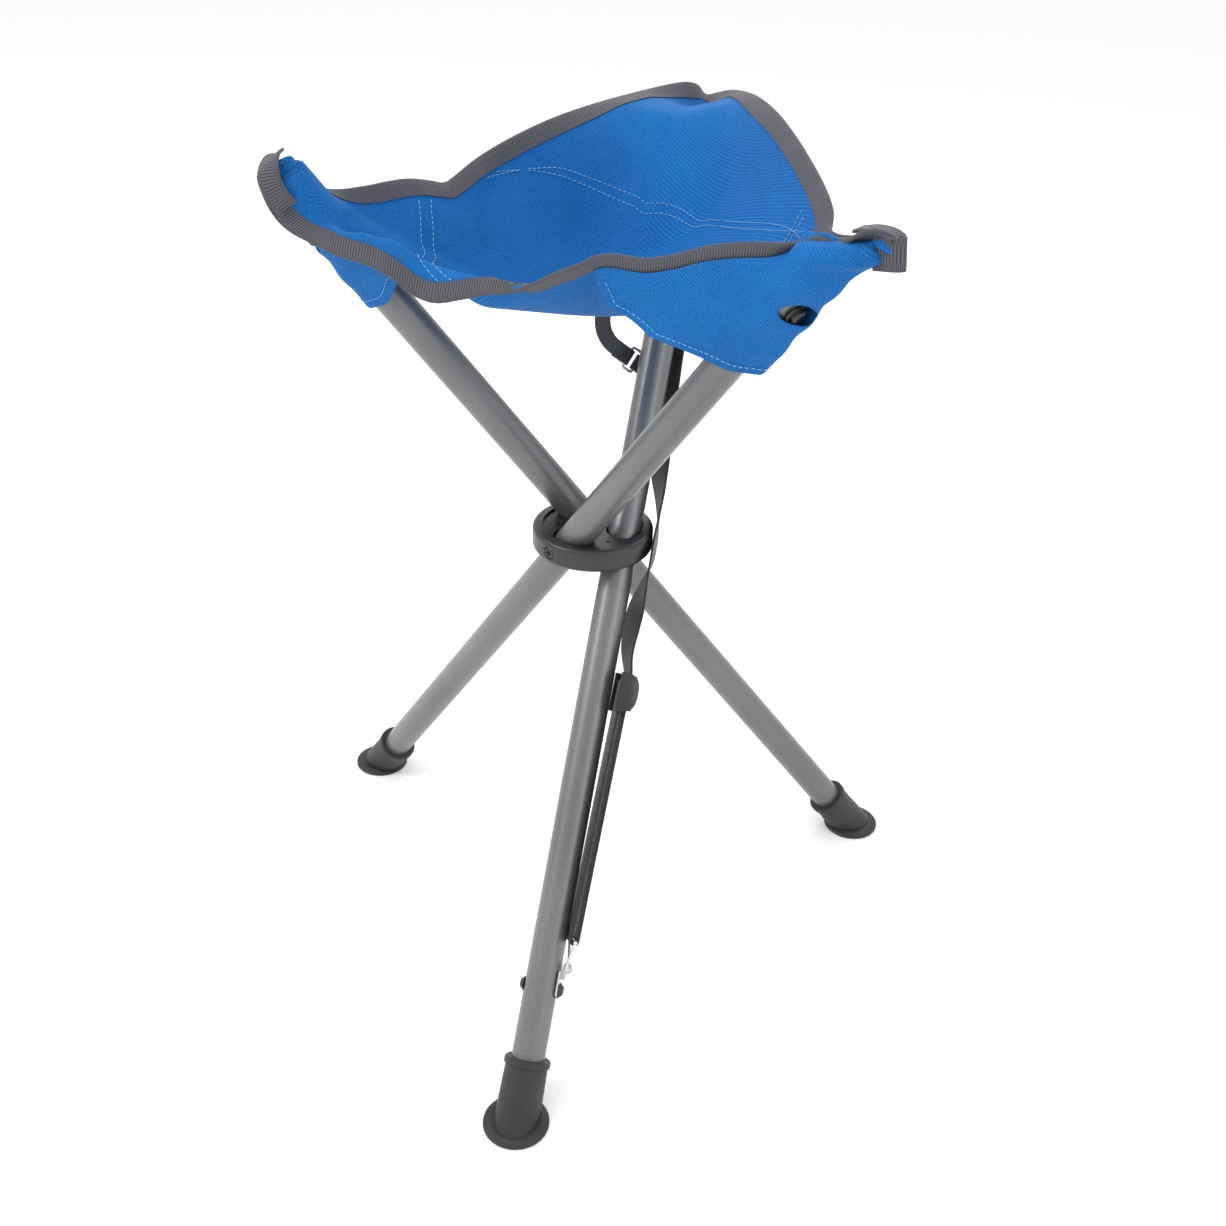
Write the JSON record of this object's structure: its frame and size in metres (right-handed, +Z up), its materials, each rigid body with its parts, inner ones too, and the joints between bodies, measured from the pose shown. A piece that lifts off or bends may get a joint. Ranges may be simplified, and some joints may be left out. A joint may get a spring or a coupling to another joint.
{
  "type": "folding tripod stool",
  "caption": "Folding camp stool: crossed tubular legs pivot in a central hub and spread a sling seat with corner pockets; a shoulder strap runs along one leg.",
  "frame": {"origin": "on the ground, under the middle of the open stool's outline", "axes": "+Z up; +X along the pivot screw of the leg with the shoulder strap, whose foot points to -Y"},
  "size_m": [0.4476, 0.4474, 0.5848],
  "materials": {
    "hub_plastic": "satin moulded plastic",
    "leg_paint": "fine hammered grey powder coat",
    "plug_plastic": "moulded plastic",
    "foot_rubber": "moulded rubber",
    "screw_steel": "blackened steel",
    "hook_steel": "bright plated steel",
    "seat_cloth": "coated woven cloth",
    "edge_binding": "ribbed binding tape",
    "webbing": "ribbed woven webbing",
    "slider_plastic": "moulded plastic"
  },
  "bodies": {
    "hub": {"hub": "hub_plastic", "pivot_screw_1": "screw_steel", "pivot_screw_2": "screw_steel", "pivot_screw_3": "screw_steel", "seat_panel": "seat_cloth", "edge_tape": "edge_binding"},
    "leg_1": {"tube_1": "leg_paint", "end_plug_1": "plug_plastic", "foot_1": "foot_rubber", "seat_screw_1": "screw_steel", "seat_washer_1": "screw_steel", "seat_nut_1": "screw_steel", "pocket_1": "seat_cloth", "shoulder_strap": "webbing", "strap_hook": "hook_steel", "hook_plate": "hook_steel", "strap_rivet": "screw_steel", "closure_strap": "webbing", "closure_tail": "webbing", "closure_ring": "hook_steel"},
    "leg_2": {"tube_2": "leg_paint", "end_plug_2": "plug_plastic", "foot_2": "foot_rubber", "seat_screw_2": "screw_steel", "seat_washer_2": "screw_steel", "seat_nut_2": "screw_steel", "pocket_2": "seat_cloth"},
    "leg_3": {"tube_3": "leg_paint", "end_plug_3": "plug_plastic", "foot_3": "foot_rubber", "seat_screw_3": "screw_steel", "seat_washer_3": "screw_steel", "seat_nut_3": "screw_steel", "pocket_3": "seat_cloth"},
    "slider": {"strap_slider": "slider_plastic"}
  },
  "joints": [
    {"name": "leg_1_fold", "type": "hinge", "parent": "hub", "child": "leg_1", "pos_m": [0.0315, 0.03141, 0.31], "axis": [1, 0, 0], "range_deg": [0, 36], "deforming": ["seat_panel", "edge_tape", "pocket_1", "closure_strap", "closure_tail"]},
    {"name": "leg_2_fold", "type": "hinge", "parent": "hub", "child": "leg_2", "pos_m": [0, 0.04959, 0.31], "axis": [-0.5, 0.866, 0], "range_deg": [0, 36], "deforming": ["seat_panel", "edge_tape", "pocket_2"]},
    {"name": "leg_3_fold", "type": "hinge", "parent": "hub", "child": "leg_3", "pos_m": [0, 0.01322, 0.31], "axis": [-0.5, -0.866, 0], "range_deg": [0, 36], "deforming": ["seat_panel", "edge_tape", "pocket_3"]},
    {"name": "slider_slide", "type": "slide", "parent": "leg_1", "child": "slider", "axis": [-0.0197, -0.6109, -0.7914], "range_m": [0, 0.11]}
  ],
  "couplings": [
    {"joint": "leg_2_fold", "follows": "leg_1_fold", "ratio": 1},
    {"joint": "leg_3_fold", "follows": "leg_1_fold", "ratio": 1}
  ]
}
